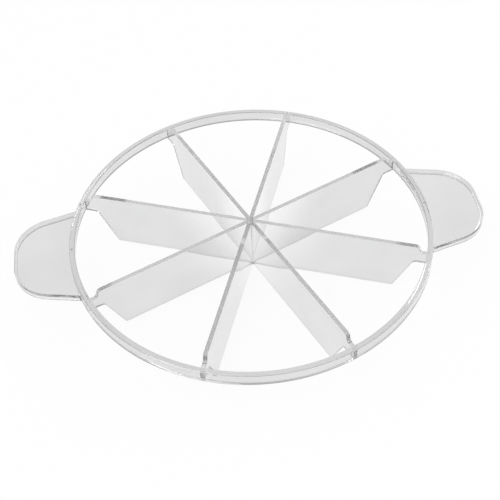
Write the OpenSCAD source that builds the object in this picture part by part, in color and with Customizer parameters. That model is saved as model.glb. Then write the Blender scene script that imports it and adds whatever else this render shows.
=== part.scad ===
// Cake divider in clear plastic: a low rim ring, eight marking blades that meet at a hub post, two handles.
// Millimetres, +Z up. The blades stand on z = 0, and the origin is under the middle of the hub.

/* [Rim ring] */
// Outer diameter of the rim at its lower edge
rim_diameter = 270; // [230:1:300]
// Height of the rim band
rim_height = 9.3; // [8:0.1:11]
// Thickness of the rim wall
rim_wall = 4.1; // [3.4:0.1:6]
// How far the rim's walls lean outwards from top to bottom
rim_lean = 0.6; // [0.2:0.1:1]
// Rounding of the rim's upper edges
rim_round = 0.8; // [0.3:0.1:1]
// Depth of the groove that seats a blade's tab, from the rim's inner wall at its top
groove_depth = 2; // [1.4:0.1:2.2]

/* [Blades] */
// Overall height of a blade, from its marking edge to its top
blade_height = 46; // [40:0.5:60]
// How far the blades' tops stand above the rim
blade_rise = 6; // [4:0.5:8]
// Thickness of a blade beside the rim
blade_thickness = 3.1; // [2.6:0.1:3.4]
// Thickness to which a blade draws in at its foot, before the bevel is cut
foot_thickness = 2.6; // [1.8:0.1:2.6]
// Thickness of the marking edge
edge_thickness = 0.8; // [0.6:0.1:1.4]
// Height of the bevel on the marking edge
edge_bevel = 2; // [1:0.1:4]
// Length of the flat neck top between the blade's shoulder and the rim
neck_length = 2.3; // [2:0.1:5]
// Distance from the rim's inner wall to the top of the sloping end
slope_start = 8.6; // [7:0.1:12]
// Distance that the sloping end runs inwards on its way down
slope_run = 13.9; // [8:0.1:20]
// Rounding where the sloping end meets the marking edge
toe_round = 3.5; // [2:0.5:5]
// Rounding in the notch under the neck
notch_round = 4; // [2:0.5:6]

/* [Handles] */
// Distance from the middle of the divider to a handle's end
handle_reach = 175; // [172:1:200]
// Width of a handle where it meets the rim
handle_width = 85; // [72:1:90]
// Angle at which each side of a handle draws in
handle_taper = 13.6; // [8:0.2:18]
// Rounding of a handle's corners
handle_corner = 30; // [20:1:32]
// How far a handle's top lies below the rim's top
handle_drop = 3; // [2:0.5:3.5]
// Thickness of a handle's top plate
handle_plate = 4; // [2:0.1:4.2]
// Thickness of the rib round a handle's underside
handle_rib = 1.8; // [1.4:0.1:3]

/* [Hidden] */
blade_count = 8;
blade_names = [for (i = [1 : blade_count]) str("blade_", i)];

clear_plastic = [0.86, 0.87, 0.89, 0.55];
$fn = 180;
gap = 0.05; // slip clearance on each side of a tab
extra = 1; // overshoot of a cutting tool past the face that it cuts
far = 200; // longer than any blade

blade_step = 360 / blade_count;
rim_top = blade_height - blade_rise;
rim_base = rim_top - rim_height;
rim_outer_low = rim_diameter / 2;
rim_outer_high = rim_outer_low - rim_lean;
rim_inner_high = rim_outer_high - rim_wall;
rim_inner_low = rim_inner_high + rim_lean;
groove_floor = rim_inner_high + groove_depth;
rim_edge_low = 0.4; // rounding of the rim's lower edges

shoulder_round = blade_rise / 2;
shoulder = rim_inner_high - neck_length - shoulder_round;
slope_top = rim_inner_high - slope_start;
slope_foot = slope_top - slope_run;
hub_flat = blade_thickness / 2 / tan(blade_step / 2);
hub_flat_low = foot_thickness / 2 / tan(blade_step / 2);

handle_top = rim_top - handle_drop;
gate_mark_d = 2;
gate_mark_h = 0.4;

// Direction from one 2D point to another, as a unit vector.
function heading(from, to) = (to - from) / norm(to - from);

// The patch between a corner and the arc that rounds it. Added, it fills an inside corner with a fillet.
// Taken away, it rounds an outside corner. The corner's edges run towards points a and b.
module corner_patch(corner, a, b, radius) {
    u = heading(corner, a);
    v = heading(corner, b);
    half_angle = acos(u * v) / 2;
    reach = radius / tan(half_angle);
    centre = corner + (u + v) / norm(u + v) * radius / sin(half_angle);
    difference() {
        polygon([corner, corner + u * reach, centre, corner + v * reach]);
        translate(centre) circle(radius);
    }
}

// Angle of a blade about the hub. The first blade stands half a step from the handle on +X.
function blade_angle(i) = (i - 0.5) * blade_step;

// Stands a 2D outline upright: its x runs outwards from the hub and its y upwards.
module upright(thickness) {
    rotate([90, 0, 0]) linear_extrude(thickness, center = true) children();
}

// Section of the rim: x is the distance from the hub's axis, y the height.
module rim_section() {
    inner_low = [rim_inner_low, rim_base];
    outer_low = [rim_outer_low, rim_base];
    outer_high = [rim_outer_high, rim_top];
    inner_high = [rim_inner_high, rim_top];
    difference() {
        polygon([inner_low, outer_low, outer_high, inner_high]);
        corner_patch(outer_high, inner_high, outer_low, rim_round);
        corner_patch(inner_high, outer_high, inner_low, rim_round);
        corner_patch(outer_low, outer_high, inner_low, rim_edge_low);
        corner_patch(inner_low, inner_high, outer_low, rim_edge_low);
    }
}

// The groove that seats one blade's tab, open above, below and towards the hub.
module tab_groove() {
    width = blade_thickness + 2 * gap;
    length = groove_floor - rim_inner_high + extra;
    translate([groove_floor - length, -width / 2, rim_base - extra])
        cube([length, width, rim_height + 2 * extra]);
}

// Small round mark that the moulding gate leaves on the rim's top, in line with a handle.
module gate_mark() {
    middle = (rim_outer_high + rim_inner_high) / 2;
    translate([middle, 0, rim_top]) cylinder(gate_mark_h, d = gate_mark_d);
}

module rim_ring() color(clear_plastic) {
    difference() {
        rotate_extrude() rim_section();
        for (i = [1 : blade_count])
            rotate(blade_angle(i)) tab_groove();
    }
    for (turn = [0, 180])
        rotate(turn) gate_mark();
}

// Two opposite flats of the hub, a blade's thickness wide at every height.
module hub_slab() {
    upright(4 * hub_flat) polygon([
        [-hub_flat, blade_height],
        [-hub_flat, rim_base],
        [-hub_flat_low, 0],
        [hub_flat_low, 0],
        [hub_flat, rim_base],
        [hub_flat, blade_height],
    ]);
}

module hub_post() color(clear_plastic) {
    intersection_for(i = [1 : blade_count / 2])
        rotate(blade_angle(i)) hub_slab();
}

// Side view of a blade: flat top, S-shaped shoulder, neck and tab, notch, sloping end, marking edge.
module blade_outline() {
    shoulder_high = [shoulder, blade_height];
    shoulder_low = [shoulder, rim_top];
    tab_high = [groove_floor, rim_top];
    tab_low = [groove_floor, rim_base];
    notch = [slope_top, rim_base];
    toe = [slope_foot, 0];
    heel = [hub_flat_low, 0];
    hub_low = [hub_flat, rim_base];
    hub_high = [hub_flat, blade_height];
    difference() {
        polygon([hub_high, shoulder_high, shoulder_low, tab_high, tab_low, notch, toe, heel, hub_low]);
        corner_patch(shoulder_high, hub_high, shoulder_low, shoulder_round);
        corner_patch(toe, notch, heel, toe_round);
    }
    corner_patch(shoulder_low, shoulder_high, tab_high, shoulder_round);
    corner_patch(notch, tab_low, toe, notch_round);
}

// Cross-section of a blade: parallel beside the rim, thinner towards its foot, bevelled to the marking edge.
module blade_section() {
    half = blade_thickness / 2;
    half_foot = foot_thickness / 2;
    half_bevel = half_foot + (half - half_foot) * edge_bevel / rim_base;
    half_edge = edge_thickness / 2;
    polygon([
        [-half, blade_height],
        [-half, rim_base],
        [-half_bevel, edge_bevel],
        [-half_edge, 0],
        [half_edge, 0],
        [half_bevel, edge_bevel],
        [half, rim_base],
        [half, blade_height],
    ]);
}

module blade(i) color(clear_plastic) {
    rotate(blade_angle(i)) intersection() {
        upright(2 * blade_thickness) blade_outline();
        rotate(90) upright(2 * far) blade_section();
    }
}

// Plan of the handle on +X, drawn in by inset on every side but the rim's.
module handle_plan(inset) {
    corner = handle_corner - inset;
    root_x = sqrt(pow(rim_outer_low, 2) - pow(handle_width / 2, 2));
    centre_x = handle_reach - handle_corner;
    side_y = handle_width / 2 - (centre_x - root_x) * tan(handle_taper);
    centre_y = side_y - handle_corner / cos(handle_taper);
    tangent_x = centre_x + corner * sin(handle_taper);
    tangent_y = centre_y + corner * cos(handle_taper);
    inner_x = root_x - 2 * extra;
    inner_y = tangent_y + (tangent_x - inner_x) * tan(handle_taper);
    polygon([
        [inner_x, -inner_y],
        [tangent_x, -tangent_y],
        [centre_x, -centre_y],
        [centre_x + corner, -centre_y],
        [centre_x + corner, centre_y],
        [centre_x, centre_y],
        [tangent_x, tangent_y],
        [inner_x, inner_y],
    ]);
    for (side = [-1, 1])
        translate([centre_x, side * centre_y]) circle(corner);
}

// Cone that follows the rim's outer wall.
module rim_cone() {
    slope = rim_lean / rim_height;
    translate([0, 0, rim_base - extra])
        cylinder(
            rim_height + 2 * extra,
            rim_outer_low + slope * extra,
            rim_outer_high - slope * extra
        );
}

// Handle on +X: a flat plate with a rib down its sides and its end.
// The rim's wall closes the hollow underneath.
module handle() {
    hollow_top = handle_top - handle_plate;
    difference() {
        translate([0, 0, rim_base]) linear_extrude(handle_top - rim_base) handle_plan(0);
        rim_cone();
        translate([0, 0, rim_base - extra])
            linear_extrude(hollow_top - rim_base + extra) handle_plan(handle_rib);
    }
}

module handle_left() color(clear_plastic) {
    rotate(180) handle();
}

module handle_right() color(clear_plastic) {
    handle();
}

rim_ring();
hub_post();
for (i = [1 : blade_count])
    blade(i);
handle_left();
handle_right();
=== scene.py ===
import math

import bmesh
import bpy
from mathutils import Matrix, Vector


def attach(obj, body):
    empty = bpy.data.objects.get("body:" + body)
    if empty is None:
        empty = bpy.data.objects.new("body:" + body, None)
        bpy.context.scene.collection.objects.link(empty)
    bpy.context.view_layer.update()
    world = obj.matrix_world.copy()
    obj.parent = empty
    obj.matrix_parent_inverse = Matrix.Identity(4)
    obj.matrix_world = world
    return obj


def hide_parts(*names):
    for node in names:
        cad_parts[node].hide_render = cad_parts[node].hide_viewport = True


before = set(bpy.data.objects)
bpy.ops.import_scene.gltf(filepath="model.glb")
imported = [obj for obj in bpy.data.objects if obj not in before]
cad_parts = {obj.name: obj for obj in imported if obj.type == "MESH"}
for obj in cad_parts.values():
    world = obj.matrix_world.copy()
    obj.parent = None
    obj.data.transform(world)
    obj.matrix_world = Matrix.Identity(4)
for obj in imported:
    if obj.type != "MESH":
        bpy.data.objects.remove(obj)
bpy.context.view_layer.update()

# Sizes of the pieces are in millimetres, as in the part's source, except that the rim's and the handles'
# reach are a hair shorter, to stay inside its facets. MM turns them into metres.
MM = 0.001

BLADE_COUNT = 8
BLADE_STEP = math.radians(360 / BLADE_COUNT)

# The rim: heights, distances from the hub's axis and roundings.
RIM_TOP = 40.0
RIM_BASE = 30.7
RIM_OUTER_LOW = 134.98
RIM_OUTER_HIGH = 134.4
RIM_INNER_HIGH = 130.3
RIM_INNER_LOW = 130.9
RIM_ROUND = 0.8
RIM_EDGE_LOW = 0.4
GROOVE_FLOOR = 132.3

# The blades: heights, halves of thicknesses, distances from the hub's axis and roundings.
BLADE_TOP = 46.0
BLADE_HALF = 1.55
FOOT_HALF = 1.3
EDGE_HALF = 0.4
EDGE_BEVEL = 2.0
SHOULDER = 125.0
SHOULDER_ROUND = 3.0
SLOPE_TOP = 121.7
SLOPE_FOOT = 107.8
TOE_ROUND = 3.5
NOTCH_ROUND = 4.0

# The handles.
HANDLE_REACH = 174.99
HANDLE_WIDTH = 85.0
HANDLE_TAPER = math.radians(13.6)
HANDLE_CORNER = 30.0
HANDLE_TOP = 37.0
HANDLE_PLATE = 4.0
HANDLE_RIB = 1.8

# The gate marks: their radius, and their domed side as shares of it with heights above their seat.
GATE_MARK_R = 1.0
GATE_MARK_SIDE = ((1.0, 0.0), (1.0, 0.15), (0.93, 0.24), (0.75, 0.31), (0.4, 0.35))

# Roundings of edges that are sharp in the source.
BLADE_SOFT = 0.15
HANDLE_SOFT = 0.3
HOLLOW_SOFT = 0.5

# Air between two pieces, so that their faces don't lie in each other.
SLIP = 0.05
SEAT = 0.03

# Number of steps in each arc and along each stretch.
RIM_ARC_STEPS = 6
RIM_STRETCH_STEPS = 120
BLADE_ARC_STEPS = 12
BLADE_SOFT_STEPS = 3
HANDLE_SIDE_STEPS = 8
HANDLE_CORNER_STEPS = 24
HANDLE_END_STEPS = 4
HANDLE_ROOT_STEPS = 40
HANDLE_SOFT_STEPS = 5
GATE_MARK_STEPS = 32

# Shading is smooth over bends up to these angles. The smaller one keeps the blades' bevels flat.
SMOOTH_BEND = math.radians(32)
BLADE_SMOOTH_BEND = math.radians(20)

# Two edges count as one straight line when the sine of the angle between them is below this.
STRAIGHT = 0.001

# Index of the material for faces that stand against another piece.
SEAM = 1


def blade_angle(i):
    """Angle of a blade about the hub. The first blade stands half a step from the handle on +X."""
    return (i - 0.5) * BLADE_STEP


def rounded(points, radii, steps):
    """The closed outline through these points, with an arc of its radius at each corner."""
    outline = []
    for i, (point, radius) in enumerate(zip(points, radii)):
        corner = Vector(point)
        if radius == 0:
            outline.append(corner)
            continue
        to_last = (Vector(points[i - 1]) - corner).normalized()
        to_next = (Vector(points[(i + 1) % len(points)]) - corner).normalized()
        half = to_last.angle(to_next) / 2
        centre = corner + (to_last + to_next).normalized() * (radius / math.sin(half))
        start = corner + to_last * (radius / math.tan(half)) - centre
        end = corner + to_next * (radius / math.tan(half)) - centre
        sweep = math.pi - 2 * half
        for k in range(steps + 1):
            share = k / steps
            ray = start * math.sin((1 - share) * sweep) + end * math.sin(share * sweep)
            outline.append(centre + ray / math.sin(sweep))
    return outline


def to_mesh(name, bm):
    """A mesh from a bmesh, which is freed."""
    mesh = bpy.data.meshes.new(name)
    bm.to_mesh(mesh)
    bm.free()
    return mesh


def link_object(name, data):
    """A new object in the scene."""
    obj = bpy.data.objects.new(name, data)
    bpy.context.scene.collection.objects.link(obj)
    return obj


def new_piece(name, bm):
    """A piece in the shared frame, from a bmesh in millimetres."""
    bmesh.ops.recalc_face_normals(bm, faces=bm.faces)
    bmesh.ops.scale(bm, vec=(MM, MM, MM), verts=bm.verts)
    return link_object(name, to_mesh(name, bm))


def smooth(piece, bend=SMOOTH_BEND):
    """Shades a piece smooth over bends up to this angle, and keeps flat faces flat."""
    mesh = piece.data
    mesh.polygons.foreach_set("use_smooth", [True] * len(mesh.polygons))
    mesh.set_sharp_from_angle(angle=bend)
    even = piece.modifiers.new("even_normals", "WEIGHTED_NORMAL")
    even.keep_sharp = True
    return piece


def ring_loop(bm, middle_x, radius, z, sides):
    """A level loop of vertices round a point on the X axis."""
    turns = [2 * math.pi * k / sides for k in range(sides)]
    return [
        bm.verts.new((middle_x + radius * math.cos(turn), radius * math.sin(turn), z))
        for turn in turns
    ]


def join_loops(bm, loops):
    """Closes the sides between loops, lowest first, and both ends. Gives each band's faces."""
    bands = []
    for low, high in zip(loops, loops[1:]):
        corners = zip(low, low[1:] + low[:1], high[1:] + high[:1], high)
        bands.append([bm.faces.new(four) for four in corners])
    bm.faces.new(loops[0])
    bm.faces.new(loops[-1])
    return bands


def rim_wall_radius(z):
    """Radius of the rim's outer wall at a height."""
    share = (RIM_TOP - z) / (RIM_TOP - RIM_BASE)
    return RIM_OUTER_HIGH + share * (RIM_OUTER_LOW - RIM_OUTER_HIGH)


def make_rim():
    """The rim: a turned section, with a groove in its inner side for each blade's tab."""
    corners = [
        (GROOVE_FLOOR, RIM_TOP),
        (RIM_INNER_HIGH, RIM_TOP),
        (RIM_INNER_LOW, RIM_BASE),
        (GROOVE_FLOOR, RIM_BASE),
        (RIM_OUTER_LOW, RIM_BASE),
        (RIM_OUTER_HIGH, RIM_TOP),
    ]
    radii = [0, RIM_ROUND, RIM_EDGE_LOW, 0, RIM_EDGE_LOW, RIM_ROUND]
    section = rounded(corners, radii, RIM_ARC_STEPS)
    # A groove's floor runs from the section's first point down to this one.
    floor_low = 1 + 2 * (RIM_ARC_STEPS + 1)
    inner = range(floor_low + 1)
    outer = [*range(floor_low, len(section)), 0]
    whole = [*range(len(section)), 0]
    half_width = BLADE_HALF + SLIP
    half_turn = math.asin(half_width / GROOVE_FLOOR)
    bm = bmesh.new()

    def groove_side(angle, side):
        turn = Matrix.Rotation(angle, 3, "Z")
        y = side * half_width
        return [
            bm.verts.new(turn @ Vector((math.sqrt(r * r - y * y), y, z))) for r, z in section
        ]

    def section_at(angle):
        return [
            bm.verts.new((r * math.cos(angle), r * math.sin(angle), z)) for r, z in section
        ]

    def band(here, after, chain):
        for a, b in zip(chain, chain[1:]):
            bm.faces.new((here[a], after[a], after[b], here[b]))

    grooves = []
    for i in range(1, BLADE_COUNT + 1):
        low = groove_side(blade_angle(i), -1)
        high = groove_side(blade_angle(i), 1)
        band(low, high, outer)
        bm.faces.new((low[0], low[floor_low], high[floor_low], high[0]))
        bm.faces.new([low[k] for k in inner])
        bm.faces.new([high[k] for k in reversed(inner)])
        grooves.append((low, high))
    # Plain stretches lead from each groove to the next.
    sweep = BLADE_STEP - 2 * half_turn
    for i in range(1, BLADE_COUNT + 1):
        start = blade_angle(i) + half_turn
        here = grooves[i - 1][1]
        for k in range(1, RIM_STRETCH_STEPS):
            after = section_at(start + sweep * k / RIM_STRETCH_STEPS)
            band(here, after, whole)
            here = after
        band(here, grooves[i % BLADE_COUNT][0], whole)
    return smooth(new_piece("rim_ring_clear", bm))


def make_gate_mark(name, turn):
    """The mark on the rim's top beside the handle on +X, or on -X where turn is -1."""
    middle = turn * (RIM_OUTER_HIGH + RIM_INNER_HIGH) / 2
    seat = RIM_TOP + SEAT
    bm = bmesh.new()
    loops = [
        ring_loop(bm, middle, share * GATE_MARK_R, seat + height, GATE_MARK_STEPS)
        for share, height in GATE_MARK_SIDE
    ]
    join_loops(bm, loops)
    return smooth(new_piece(name, bm))


def side_half(z):
    """Half of the distance between a blade's sides at a height, without the bevel."""
    return FOOT_HALF + min(z / RIM_BASE, 1) * (BLADE_HALF - FOOT_HALF)


def half_thickness(z):
    """Half of a blade's thickness at a height."""
    if z >= EDGE_BEVEL:
        return side_half(z)
    return EDGE_HALF + z / EDGE_BEVEL * (side_half(EDGE_BEVEL) - EDGE_HALF)


def hub_flat(z):
    """Distance of the hub's flats from its axis at a height. Each is as wide as a blade is thick."""
    return side_half(z) / math.tan(BLADE_STEP / 2)


def inset_corner(before, corner, after, inset_a, inset_b):
    """Where the corner goes when the edges before and after it move inwards by their insets."""
    edge_a = (corner - before).normalized()
    edge_b = (after - corner).normalized()
    inward_a = Vector((edge_a.y, -edge_a.x))
    inward_b = Vector((edge_b.y, -edge_b.x))
    bend = inward_a.cross(inward_b)
    if abs(bend) < STRAIGHT:
        return corner + inward_a * inset_a
    return corner + Vector((
        inset_a * inward_b.y - inset_b * inward_a.y,
        inset_b * inward_a.x - inset_a * inward_b.x,
    )) / bend


def blade_outline():
    """Side view of a blade, clockwise from the top of its hub end.

    Also gives the indices of the two points, in the notch and on the toe, from which the lines where its
    sides bend run to the hub.
    """
    corners = [
        (hub_flat(BLADE_TOP) + SEAT, BLADE_TOP),
        (SHOULDER, BLADE_TOP),
        (SHOULDER, RIM_TOP),
        (GROOVE_FLOOR - SLIP, RIM_TOP),
        (GROOVE_FLOOR - SLIP, RIM_BASE),
        (SLOPE_TOP, RIM_BASE),
        (SLOPE_FOOT, 0.0),
        (hub_flat(0.0) + SEAT, 0.0),
        (hub_flat(EDGE_BEVEL) + SEAT, EDGE_BEVEL),
        (hub_flat(RIM_BASE) + SEAT, RIM_BASE),
    ]
    radii = [0, SHOULDER_ROUND, SHOULDER_ROUND, 0, 0, NOTCH_ROUND, TOE_ROUND, 0, 0, 0]
    outline = rounded(corners, radii, BLADE_ARC_STEPS)
    # The shoulder's two arcs meet in one point.
    del outline[BLADE_ARC_STEPS + 2]
    notch = 2 + 2 * (BLADE_ARC_STEPS + 1)
    # The bevel's upper line starts at a point on the toe's arc, where the soft edge reaches the bevel's
    # height.
    toe = notch + BLADE_ARC_STEPS + 1
    line_z = TOE_ROUND - TOE_ROUND * (TOE_ROUND - EDGE_BEVEL) / (TOE_ROUND - BLADE_SOFT)
    while outline[toe + 1].y > line_z:
        toe += 1
    share = (outline[toe].y - line_z) / (outline[toe].y - outline[toe + 1].y)
    outline.insert(toe + 1, outline[toe].lerp(outline[toe + 1], share))
    return outline, notch, toe + 1


def make_blade(i):
    """A blade: its outline with soft edges, as thick at every height as its cross-section."""
    outline, notch, toe = blade_outline()
    count = len(outline)
    heel, hub_foot, hub_low = count - 3, count - 2, count - 1
    # The blade's end at the hub stays sharp, and the rest of its outline is rounded.
    insets = [0 if k >= heel else BLADE_SOFT for k in range(count)]
    soft_angles = [math.pi / 2 * k / BLADE_SOFT_STEPS for k in range(BLADE_SOFT_STEPS + 1)]
    turn = Matrix.Rotation(blade_angle(i), 3, "Z")
    bm = bmesh.new()
    chains = {-1: [], 1: []}
    for k, corner in enumerate(outline):
        after = outline[(k + 1) % count]
        inner = inset_corner(outline[k - 1], corner, after, insets[k - 1], insets[k])
        soft = max(insets[k - 1], insets[k])
        for side in (-1, 1):
            chain = []
            for angle in soft_angles if soft else soft_angles[-1:]:
                point = corner.lerp(inner, 1 - math.cos(angle))
                y = half_thickness(point.y) - soft * (1 - math.sin(angle))
                chain.append(bm.verts.new(turn @ Vector((point.x, side * y, point.y))))
            chains[side].append(chain)
    right, left = chains[-1], chains[1]
    for k in range(count):
        n = (k + 1) % count
        if k >= heel:
            end = bm.faces.new(right[k] + right[n][::-1] + left[n] + left[k][::-1])
            end.material_index = SEAM
            continue
        bm.faces.new((right[k][0], right[n][0], left[n][0], left[k][0]))
        for side in (right, left):
            here, after = side[k], side[n]
            for j in range(BLADE_SOFT_STEPS):
                bm.faces.new((here[j], after[j], after[j + 1], here[j + 1]))
    for side in (right, left):
        edge = [chain[-1] for chain in side]
        bm.faces.new(edge[: notch + 1] + [edge[hub_low]])
        bm.faces.new(edge[notch : toe + 1] + [edge[hub_foot], edge[hub_low]])
        bm.faces.new(edge[toe : hub_foot + 1])
    return smooth(new_piece(f"blade_{i}_clear", bm), BLADE_SMOOTH_BEND)


def make_hub():
    """The post in the middle. Above the bevel its flats stand against the blades' ends."""
    bm = bmesh.new()
    loops = []
    for z in (0.0, EDGE_BEVEL, RIM_BASE, BLADE_TOP):
        radius = (hub_flat(z) - SEAT) / math.cos(BLADE_STEP / 2)
        loops.append(ring_loop(bm, 0.0, radius, z, BLADE_COUNT))
    for band in join_loops(bm, loops)[1:]:
        for flat in band:
            flat.material_index = SEAM
    return new_piece("hub_post_clear", bm)


def handle_edge(inset, root_radius):
    """Free edge of the handle on +X, drawn in by inset: from the rim along a side, round the end and back."""
    corner = HANDLE_CORNER - inset
    root_x = math.sqrt(RIM_OUTER_LOW ** 2 - (HANDLE_WIDTH / 2) ** 2)
    centre_x = HANDLE_REACH - HANDLE_CORNER
    side_y = HANDLE_WIDTH / 2 - (centre_x - root_x) * math.tan(HANDLE_TAPER)
    centre_y = side_y - HANDLE_CORNER / math.cos(HANDLE_TAPER)
    tangent = Vector((
        centre_x + corner * math.sin(HANDLE_TAPER),
        centre_y + corner * math.cos(HANDLE_TAPER),
    ))
    along = Vector((-math.cos(HANDLE_TAPER), math.sin(HANDLE_TAPER)))
    # The side's line meets the rim's circle where |tangent + along * t| is the circle's radius.
    b = tangent.dot(along)
    c = tangent.dot(tangent) - root_radius ** 2
    root = tangent + along * (-b - math.sqrt(b * b - c))

    half = [tuple(root.lerp(tangent, k / HANDLE_SIDE_STEPS)) for k in range(HANDLE_SIDE_STEPS)]
    for k in range(HANDLE_CORNER_STEPS + 1):
        angle = (math.pi / 2 - HANDLE_TAPER) * (1 - k / HANDLE_CORNER_STEPS)
        half.append((
            centre_x + corner * math.cos(angle),
            centre_y + corner * math.sin(angle),
        ))
    for k in range(1, HANDLE_END_STEPS + 1):
        half.append((centre_x + corner, centre_y * (1 - k / HANDLE_END_STEPS)))
    return half + [(x, -y) for x, y in half[-2::-1]]


def make_handle(name, turn):
    """The handle on +X, or on -X where turn is -1: a plate with a rib down its sides and its end."""
    hollow_top = HANDLE_TOP - HANDLE_PLATE
    # Height and inset along the section: from the top face down the outside, across the rib and up into the
    # hollow. The first and the last point only give the arcs beside them their direction.
    corners = [
        (HANDLE_TOP, HANDLE_CORNER),
        (HANDLE_TOP, 0.0),
        (RIM_BASE, 0.0),
        (RIM_BASE, HANDLE_RIB),
        (hollow_top, HANDLE_RIB),
        (hollow_top, HANDLE_CORNER),
    ]
    radii = [0, HANDLE_SOFT, HANDLE_SOFT, HANDLE_SOFT, HOLLOW_SOFT, 0]
    section = rounded(corners, radii, HANDLE_SOFT_STEPS)[1:-1]
    bm = bmesh.new()
    chains = []
    for z, inset in section:
        edge = handle_edge(inset, rim_wall_radius(z) + SLIP)
        chains.append([bm.verts.new((turn * x, turn * y, z)) for x, y in edge])
    for here, after in zip(chains, chains[1:]):
        for k in range(len(here) - 1):
            bm.faces.new((here[k], here[k + 1], after[k + 1], after[k]))

    def root_line(chain, z):
        """The rest of a chain's loop, along the rim's wall from the chain's end to its start, with both."""
        radius = rim_wall_radius(z) + SLIP
        reach = abs(math.atan2(chain[-1].co.y, turn * chain[-1].co.x))
        line = [chain[-1]]
        for k in range(1, HANDLE_ROOT_STEPS):
            angle = reach * (1 - 2 * k / HANDLE_ROOT_STEPS)
            point = (turn * radius * math.cos(angle), -turn * radius * math.sin(angle), z)
            line.append(bm.verts.new(point))
        return [*line, chain[0]]

    top_root = root_line(chains[0], HANDLE_TOP)
    low_root = root_line(chains[-1], hollow_top)
    bm.faces.new(chains[0] + top_root[1:-1])
    bm.faces.new(chains[-1] + low_root[1:-1])
    for k in range(HANDLE_ROOT_STEPS):
        bm.faces.new((top_root[k], top_root[k + 1], low_root[k + 1], low_root[k]))
    bm.faces.new([chain[0] for chain in chains])
    bm.faces.new([chain[-1] for chain in chains])
    return smooth(new_piece(name, bm))


# Looks. The tint of the blades and the hub is paler near the hub's axis, where the plastic is seen through
# several pieces: painted light, which keeps these overlaps from looking darker than one piece. It sets in as
# a point's distance from the axis, less FADE_LEAN times its height, grows from FADE_START to FADE_END, in
# millimetres.
FADE_START = -14.0
FADE_END = 50.0
FADE_LEAN = 0.6

# How much painted shade a face takes, from 0 to 1, by how far it looks up or down: roundings take it, and
# upright and level faces do not. It draws dark lines along the roundings, where rounded clear edges look
# dark.
ROUNDING_SHADE_STOPS = ((0.15, 0), (0.35, 1), (0.85, 1), (0.97, 0))

# Values of the cloudy noise at which the tint is darkest and lightest.
CLOUD_DARK = 0.3
CLOUD_LIGHT = 0.7

PLASTIC_IOR = 1.49
INSIDE_COLOUR = (0.84, 0.84, 0.845, 1)
WHITE = (1, 1, 1, 1)


def connect(tree, node, inputs):
    """Gives each of these inputs of a node a constant or another node's output."""
    for key, value in inputs.items():
        if isinstance(value, bpy.types.NodeSocket):
            tree.links.new(value, node.inputs[key])
        else:
            node.inputs[key].default_value = value


def add_node(tree, kind, inputs, **settings):
    """A new shader node with these settings and inputs."""
    node = tree.nodes.new("ShaderNode" + kind)
    for key, value in settings.items():
        setattr(node, key, value)
    connect(tree, node, inputs)
    return node


def add_math(tree, operation, *values):
    """The result of an operation on constants and other nodes' outputs."""
    return add_node(tree, "Math", dict(enumerate(values)), operation=operation).outputs[0]


def add_noise(tree, place, scale, detail):
    """A cloudy value about a half."""
    inputs = {"Vector": place, "Scale": scale, "Detail": detail}
    return add_node(tree, "TexNoise", inputs).outputs["Fac"]


def add_mix(tree, share, a, b, blend="MIX"):
    """The mix of two colours."""
    inputs = {"Factor": share, "A": a, "B": b}
    return add_node(tree, "Mix", inputs, data_type="RGBA", blend_type=blend).outputs["Result"]


def add_ramp(tree, value, stops):
    """The colour for a value, blended between stops, each a place and a colour."""
    ramp = add_node(tree, "ValToRGB", {"Fac": value})
    elements = ramp.color_ramp.elements
    for k, (place, colour) in enumerate(stops):
        # A new ramp has two stops.
        stop = elements[k] if k < 2 else elements.new(place)
        stop.position = place
        stop.color = colour
    return ramp.outputs["Color"]


def grey(level):
    """A neutral colour, from black at 0 to white at 1."""
    return (level, level, level, 1)


def add_fade(tree, place):
    """How far the tint has set in, from 0 to 1."""
    plan = add_node(tree, "VectorMath", {0: place, 1: (1, 1, 0)}, operation="MULTIPLY")
    reach = add_node(tree, "VectorMath", {0: plan.outputs["Vector"]}, operation="LENGTH")
    height = add_node(tree, "SeparateXYZ", {0: place}).outputs["Z"]
    leaning = add_math(tree, "MULTIPLY_ADD", height, -FADE_LEAN, reach.outputs["Value"])
    inputs = {"Value": leaning, "From Min": FADE_START * MM, "From Max": FADE_END * MM}
    return add_node(tree, "MapRange", inputs, interpolation_type="SMOOTHSTEP").outputs["Result"]


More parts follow.
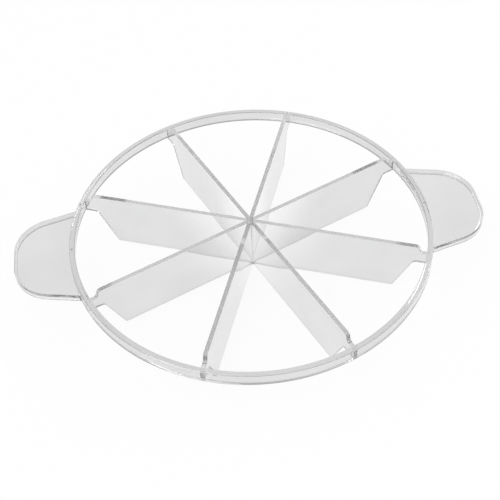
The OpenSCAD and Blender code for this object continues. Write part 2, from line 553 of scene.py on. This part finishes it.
def clear_plastic(
    name, dark, light, density,
    edge_shade=1.0, edge_satin=0.0, hub_tint=1.0, rounding_shade=1.0, ior=PLASTIC_IOR,
):
    """Clear moulded plastic, with a slight grey between dark and light, faint flow marks and fine wear.

    It grows greyer with the way through it, by density. Edge faces, which look up or down, are darker by
    edge_shade, a painted shade for the dimmer light seen through the plastic's edges, and rougher by
    edge_satin than the sides. Sides near the hub's axis have the paler grey hub_tint, painted light that
    keeps plastic seen through several pieces from growing darker, and roundings are darker by a painted
    shade, which draws dark lines along them.
    """
    material = bpy.data.materials.new(name)
    material.use_nodes = True
    tree = material.node_tree
    place = add_node(tree, "TexCoord", {}).outputs["Object"]

    normal = add_node(tree, "NewGeometry", {}).outputs["True Normal"]
    level = add_math(tree, "ABSOLUTE", add_node(tree, "SeparateXYZ", {0: normal}).outputs["Z"])
    edge_range = {"Value": level, "From Min": 0.2, "From Max": 0.4}
    edge = add_node(tree, "MapRange", edge_range).outputs["Result"]

    cloud = add_noise(tree, place, scale=24.0, detail=3.0)
    tint = add_ramp(tree, cloud, ((CLOUD_DARK, (*dark, 1)), (CLOUD_LIGHT, (*light, 1))))
    # Painted shade: edge faces, which look up or down, are darker, for the dimmer light seen through clear
    # edges.
    edge_colour = add_mix(tree, 1.0, tint, grey(edge_shade), "MULTIPLY")
    # Painted light: sides are paler near the hub's axis, where the plastic is seen through several pieces.
    side_colour = add_mix(tree, add_fade(tree, place), grey(hub_tint), tint)
    colour = add_mix(tree, edge, side_colour, edge_colour)
    # Painted shade: dark lines along the roundings, where rounded clear edges look dark.
    rounding_mask = add_ramp(tree, level, [(stop, grey(value)) for stop, value in ROUNDING_SHADE_STOPS])
    colour = add_mix(tree, rounding_mask, colour, grey(rounding_shade), "MULTIPLY")

    wear = add_noise(tree, place, scale=420.0, detail=4.0)
    gloss_range = {"Value": wear, "From Min": 0.3, "From Max": 0.75, "To Min": 0.01, "To Max": 0.03}
    gloss = add_node(tree, "MapRange", gloss_range).outputs["Result"]

    flow = add_noise(tree, place, scale=60.0, detail=2.0)
    bump = add_node(tree, "Bump", {"Height": flow, "Strength": 0.015, "Distance": 0.0006})

    connect(tree, tree.nodes["Principled BSDF"], {
        "Base Color": colour,
        "Roughness": add_math(tree, "MULTIPLY_ADD", edge, edge_satin, gloss),
        "Normal": bump.outputs["Normal"],
        "Transmission Weight": 1.0,
        "IOR": ior,
    })
    inside = add_node(tree, "VolumeAbsorption", {"Color": INSIDE_COLOUR, "Density": density})
    connect(tree, tree.nodes["Material Output"], {"Volume": inside.outputs["Volume"]})
    return material


def add_piece(piece, material, node=None, seam=None):
    """Gives a piece its materials and its body, and hides the imported part that it stands in for."""
    piece.data.materials.append(material)
    if seam is not None:
        piece.data.materials.append(seam)
    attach(piece, "root")
    if node is not None:
        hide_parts(node)


rim_look = clear_plastic(
    "rim_clear",
    dark=(0.72, 0.72, 0.725),
    light=(0.77, 0.77, 0.775),
    density=3,
    # Painted shade on the rim's edge faces.
    edge_shade=0.92,
    # Painted shade: dark lines along the rim's roundings.
    rounding_shade=0.65,
)
blade_look = clear_plastic(
    "blade_clear",
    dark=(0.73, 0.73, 0.735),
    light=(0.78, 0.78, 0.785),
    density=5,
    # Painted shade on the blades' edge faces.
    edge_shade=0.91,
    edge_satin=0.2,
    # Painted light: paler near the hub's axis.
    hub_tint=0.955,
)
hub_look = clear_plastic(
    "hub_clear",
    dark=(0.92, 0.92, 0.925),
    light=(0.97, 0.97, 0.975),
    density=5,
    edge_satin=0.2,
    # Painted light: paler near the hub's axis.
    hub_tint=0.96,
)
# The faces between the hub and the blades neither bend nor reflect light, as in a welded joint.
seam_look = clear_plastic(
    "seam_clear",
    dark=(0.98, 0.98, 0.98),
    light=(1.0, 1.0, 1.0),
    density=5,
    ior=1.0,
)
handle_look = clear_plastic(
    "handle_clear",
    dark=(0.785, 0.785, 0.79),
    light=(0.835, 0.835, 0.84),
    density=42,
)

add_piece(make_rim(), rim_look, "rim_ring")
add_piece(make_gate_mark("gate_mark_left", -1), rim_look)
add_piece(make_gate_mark("gate_mark_right", 1), rim_look)
add_piece(make_hub(), hub_look, "hub_post", seam_look)
for i in range(1, BLADE_COUNT + 1):
    add_piece(make_blade(i), blade_look, f"blade_{i}", seam_look)
add_piece(make_handle("handle_left_clear", -1), handle_look, "handle_left")
add_piece(make_handle("handle_right_clear", 1), handle_look, "handle_right")


# The studio, in metres: a pale floor that shows white and keeps a soft shadow, a white world, two soft lamps
# and a dark card behind the divider.
FLOOR_RADIUS = 6.0
FLOOR_SIDES = 96
FLOOR_DROP = 0.0002
FLOOR_GREY = 0.9
# Share of plain white in the floor as the camera sees it. The rest takes the shadow.
FLOOR_WHITE = 0.93
WORLD_LIGHT = 0.8

CARD_ELEVATION = math.radians(48)
CARD_DISTANCE = 1.5
CARD_WIDTH = 3.0
CARD_HEIGHT = 1.6
CARD_LEFT_SHADE = 0.35
CARD_RIGHT_SHADE = 0.6

# The camera, in millimetres like the pieces.
CAMERA_PLACE = (-58.21, -478.33, 546.81)
CAMERA_AIM = (-4.125, -23.954, 40.0)
CAMERA_ROLL = math.radians(-2.651)
CAMERA_LENS = 67.82
CAMERA_SENSOR = 36.0

# Enough for light to leave the clear pieces again.
BOUNCES = 256


def add_sight(tree):
    """1 for light that the camera sees, directly or in clear and glossy surfaces, and 0 for all the rest."""
    path = add_node(tree, "LightPath", {}).outputs
    plain = add_math(tree, "MAXIMUM", path["Is Camera Ray"], path["Is Glossy Ray"])
    return add_math(tree, "MAXIMUM", plain, path["Is Transmission Ray"])


def bare_material(name):
    """A material with no shader yet."""
    material = bpy.data.materials.new(name)
    material.use_nodes = True
    nodes = material.node_tree.nodes
    nodes.remove(nodes["Principled BSDF"])
    return material


def place_facing(obj, place, ahead, roll=0.0):
    """Puts an object at a place, with its -Z axis ahead and its Y axis upwards, then rolled by an angle."""
    right = ahead.cross(Vector((0, 0, 1))).normalized()
    up = right.cross(ahead)
    rolled_right = right * math.cos(roll) + up * math.sin(roll)
    rolled_up = up * math.cos(roll) - right * math.sin(roll)
    turn = Matrix((rolled_right, rolled_up, -ahead)).transposed()
    obj.matrix_world = Matrix.Translation(place) @ turn.to_4x4()


def make_floor():
    """A disc that shows almost white, so that the shadow stays."""
    bm = bmesh.new()
    bmesh.ops.create_circle(bm, cap_ends=True, radius=FLOOR_RADIUS, segments=FLOOR_SIDES)
    floor = link_object("floor", to_mesh("floor", bm))
    floor.location.z = -FLOOR_DROP
    material = bare_material("pale_floor")
    tree = material.node_tree
    paper = add_node(tree, "BsdfDiffuse", {"Color": grey(FLOOR_GREY)})
    glow = add_node(tree, "Emission", {"Color": WHITE, "Strength": 1.0})
    share = add_math(tree, "MULTIPLY", add_sight(tree), FLOOR_WHITE)
    mix = add_node(tree, "MixShader", {"Fac": share, 1: paper.outputs[0], 2: glow.outputs[0]})
    connect(tree, tree.nodes["Material Output"], {"Surface": mix.outputs[0]})
    floor.data.materials.append(material)


def make_card(name):
    """A card out of the camera's sight, darker on its left, that draws the edges of clear plastic."""
    wide, tall = CARD_WIDTH / 2, CARD_HEIGHT / 2
    mesh = bpy.data.meshes.new(name)
    corners = [(-wide, -tall, 0), (wide, -tall, 0), (wide, tall, 0), (-wide, tall, 0)]
    mesh.from_pydata(corners, [], [(0, 1, 2, 3)])
    card = link_object(name, mesh)
    away = Vector((0, math.cos(CARD_ELEVATION), math.sin(CARD_ELEVATION)))
    place_facing(card, away * CARD_DISTANCE, away)
    material = bare_material(name)
    tree = material.node_tree
    place = add_node(tree, "TexCoord", {}).outputs["Object"]
    shade_range = {
        "Value": add_node(tree, "SeparateXYZ", {0: place}).outputs["X"],
        "From Min": -wide,
        "From Max": wide,
        "To Min": CARD_LEFT_SHADE,
        "To Max": CARD_RIGHT_SHADE,
    }
    shade = add_node(tree, "MapRange", shade_range, interpolation_type="SMOOTHSTEP")
    glow = add_node(tree, "Emission", {"Strength": shade.outputs["Result"]})
    connect(tree, tree.nodes["Material Output"], {"Surface": glow.outputs[0]})
    mesh.materials.append(material)
    card.visible_camera = False
    card.visible_diffuse = False
    card.visible_shadow = False


def make_world():
    """A world that shows white and gives a little less light."""
    world = bpy.data.worlds.new("studio")
    bpy.context.scene.world = world
    world.use_nodes = True
    tree = world.node_tree
    lit = tree.nodes["Background"]
    connect(tree, lit, {"Color": WHITE, "Strength": WORLD_LIGHT})
    white = add_node(tree, "Background", {"Color": WHITE, "Strength": 1.0})
    sight = add_sight(tree)
    mix = add_node(tree, "MixShader", {"Fac": sight, 1: lit.outputs[0], 2: white.outputs[0]})
    connect(tree, tree.nodes["World Output"], {"Surface": mix.outputs[0]})


def make_lamp(name, place, aim, size, power):
    """A soft lamp, aimed at a point."""
    data = bpy.data.lights.new(name, "AREA")
    data.shape = "RECTANGLE"
    data.size, data.size_y = size
    data.energy = power
    lamp = link_object(name, data)
    lamp.location = place
    lamp.rotation_euler = (Vector(aim) - Vector(place)).to_track_quat("-Z", "Y").to_euler()


def make_camera():
    """The photo's view."""
    data = bpy.data.cameras.new("camera")
    data.sensor_width = CAMERA_SENSOR
    data.lens = CAMERA_LENS
    data.clip_start = 0.01
    camera = link_object("camera", data)
    place = Vector(CAMERA_PLACE) * MM
    aim = Vector(CAMERA_AIM) * MM
    place_facing(camera, place, (aim - place).normalized(), CAMERA_ROLL)
    bpy.context.scene.camera = camera


make_floor()
make_card("card_back")
make_world()
make_lamp("key", place=(-0.7, -0.5, 1.3), aim=(0, 0, 0), size=(0.9, 0.9), power=6)
make_lamp("softbox", place=(1.35, 0.35, 0.3), aim=(0, 0, 0.04), size=(1.2, 0.5), power=7)
make_camera()

scene = bpy.context.scene
scene.view_settings.view_transform = "Standard"
scene.cycles.max_bounces = BOUNCES
scene.cycles.glossy_bounces = BOUNCES
scene.cycles.transmission_bounces = BOUNCES
